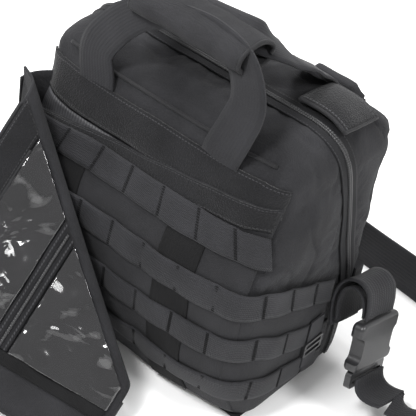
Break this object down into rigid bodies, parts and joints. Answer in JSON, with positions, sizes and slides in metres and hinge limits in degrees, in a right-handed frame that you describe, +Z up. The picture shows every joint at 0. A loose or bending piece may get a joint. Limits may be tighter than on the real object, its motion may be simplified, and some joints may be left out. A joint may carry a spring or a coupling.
{
  "type": "trauma backpack",
  "caption": "Compact clamshell trauma backpack with load webbing, loop strips, a fold-out windowed flap, twin carry handles, shoulder straps and a waist belt with a side-release buckle.",
  "frame": {"origin": "middle of the underside of the base, on the ground", "axes": "+Z up, -Y towards the front panel, +Y towards the wearer's back, +X to the right seen from the front"},
  "size_m": [0.5353, 0.4941, 0.3501],
  "materials": {
    "nylon": "woven, matt",
    "webbing": "ribbed webbing",
    "webbing_dark": "dark ribbed webbing",
    "loop": "fuzzy loop pile",
    "hook": "ribbed hook tape",
    "lining": "woven lining",
    "mesh": "open mesh",
    "spacer": "padded spacer mesh",
    "elastic": "ribbed elastic",
    "piping": "bound edge",
    "vinyl": "clear glossy film",
    "zip_tape": "coil zipper on tape",
    "slider_metal": "black painted zinc",
    "buckle": "moulded acetal",
    "sheet": "natural sheet plastic",
    "stay": "flat bar"
  },
  "bodies": {
    "back_half": {"base_panel": "nylon", "base_stiffener": "sheet", "back_shell": "nylon", "frame_sheet": "sheet", "frame_stays": "stay", "divider_panel": "lining", "elastic_loops": "elastic", "back_pads": "spacer", "lumbar_pad": "spacer", "shoulder_yoke": "webbing", "strap_webbing_left": "webbing", "strap_webbing_right": "webbing", "zipper_back_half": "zip_tape", "belt_anchor_left": "nylon", "belt_anchor_right": "nylon", "belt_webbing_right": "webbing", "buckle_female": "buckle", "belt_floor_strap": "webbing", "belt_webbing_left": "webbing"},
    "front_half": {"front_shell": "nylon", "front_liner_pad": "lining", "inner_mesh_pocket": "mesh", "front_pocket_panel": "nylon", "boot_side_panels": "nylon", "molle_row_1": "webbing", "molle_row_2": "webbing", "molle_row_3": "webbing", "molle_row_4": "webbing", "vertical_strap_left": "webbing_dark", "vertical_strap_right": "webbing_dark", "panel_loop_strip": "loop", "hook_strip": "hook", "wide_loop_strip": "loop", "seam_piping": "piping", "zipper_front_half": "zip_tape", "flap_gusset": "nylon", "side_strap": "webbing", "side_strap_slide": "buckle"},
    "front_handle": {"front_handle": "webbing_dark", "grip_wrap": "nylon"},
    "rear_handle": {"rear_handle": "webbing_dark"},
    "flap_hinge_side": {"flap_hinge_panel": "nylon"},
    "flap_free_side": {"flap_free_panel": "nylon", "flap_loop_strip": "loop", "flap_window_upper": "vinyl", "flap_window_lower": "vinyl", "flap_zipper": "zip_tape", "flap_end_binding": "webbing"},
    "flap_slider": {"flap_slider": "slider_metal"},
    "slider_lower": {"slider_lower": "slider_metal"},
    "slider_upper": {"slider_upper": "slider_metal"},
    "pull_lower": {"pull_lower": "slider_metal"},
    "pull_upper": {"pull_upper": "slider_metal"},
    "shoulder_strap_left": {"shoulder_strap_left": "spacer", "ladder_lock_left": "buckle"},
    "shoulder_strap_right": {"shoulder_strap_right": "spacer", "ladder_lock_right": "buckle"},
    "port_flap": {"port_flap": "nylon"},
    "buckle_male": {"buckle_male": "buckle", "belt_tail": "webbing"}
  },
  "joints": [
    {"name": "front_opening", "type": "hinge", "parent": "back_half", "child": "front_half", "pos_m": [0, -0.1, 0.003], "axis": [1, 0, 0], "range_deg": [0, 75]},
    {"name": "flap_swing", "type": "hinge", "parent": "front_half", "child": "flap_hinge_side", "pos_m": [-0.139, -0.087, 0.25], "axis": [0, 0, -1], "range_deg": [0, 125]},
    {"name": "flap_fold", "type": "hinge", "parent": "flap_hinge_side", "child": "flap_free_side", "pos_m": [-0.10749, -0.09256, 0.25], "axis": [0.633, -0.1116, -0.766], "range_deg": [-118, 8]},
    {"name": "flap_zip", "type": "slide", "parent": "flap_free_side", "child": "flap_slider", "axis": [0.0181, -0.69, -0.7236], "range_m": [-0.022, 0.015]},
    {"name": "front_handle_swing", "type": "hinge", "parent": "front_half", "child": "front_handle", "pos_m": [0, -0.06, 0.262], "axis": [1, 0, 0], "range_deg": [0, 75]},
    {"name": "rear_handle_swing", "type": "hinge", "parent": "back_half", "child": "rear_handle", "pos_m": [0, 0.084, 0.2825], "axis": [-1, 0, 0], "range_deg": [0, 110]},
    {"name": "port_flap_lift", "type": "hinge", "parent": "back_half", "child": "port_flap", "pos_m": [0.1, 0.0765, 0.2805], "axis": [-1, 0, 0], "range_deg": [0, 25]},
    {"name": "lower_slider_run", "type": "slide", "parent": "back_half", "child": "slider_lower", "axis": [0, -0.3146, 0.9492], "range_m": [-0.02, 0.01]},
    {"name": "upper_slider_run", "type": "slide", "parent": "back_half", "child": "slider_upper", "axis": [0, -0.3146, 0.9492], "range_m": [-0.01, 0.025]},
    {"name": "lower_pull_lift", "type": "hinge", "parent": "slider_lower", "child": "pull_lower", "pos_m": [-0.1504, 0.05107, 0.16411], "axis": [0, 1, 0], "range_deg": [0, 55]},
    {"name": "upper_pull_lift", "type": "hinge", "parent": "slider_upper", "child": "pull_upper", "pos_m": [-0.1504, 0.03848, 0.20207], "axis": [0, 1, 0], "range_deg": [0, 55]},
    {"name": "left_strap_swing", "type": "hinge", "parent": "back_half", "child": "shoulder_strap_left", "pos_m": [-0.062, 0.106, 0.262], "axis": [1, 0, 0], "range_deg": [0, 15]},
    {"name": "right_strap_swing", "type": "hinge", "parent": "back_half", "child": "shoulder_strap_right", "pos_m": [0.062, 0.106, 0.262], "axis": [1, 0, 0], "range_deg": [0, 15]},
    {"name": "belt_buckle_release", "type": "slide", "parent": "back_half", "child": "buckle_male", "axis": [0.1736, -0.2714, -0.9467], "range_m": [0, 0.026]}
  ]
}
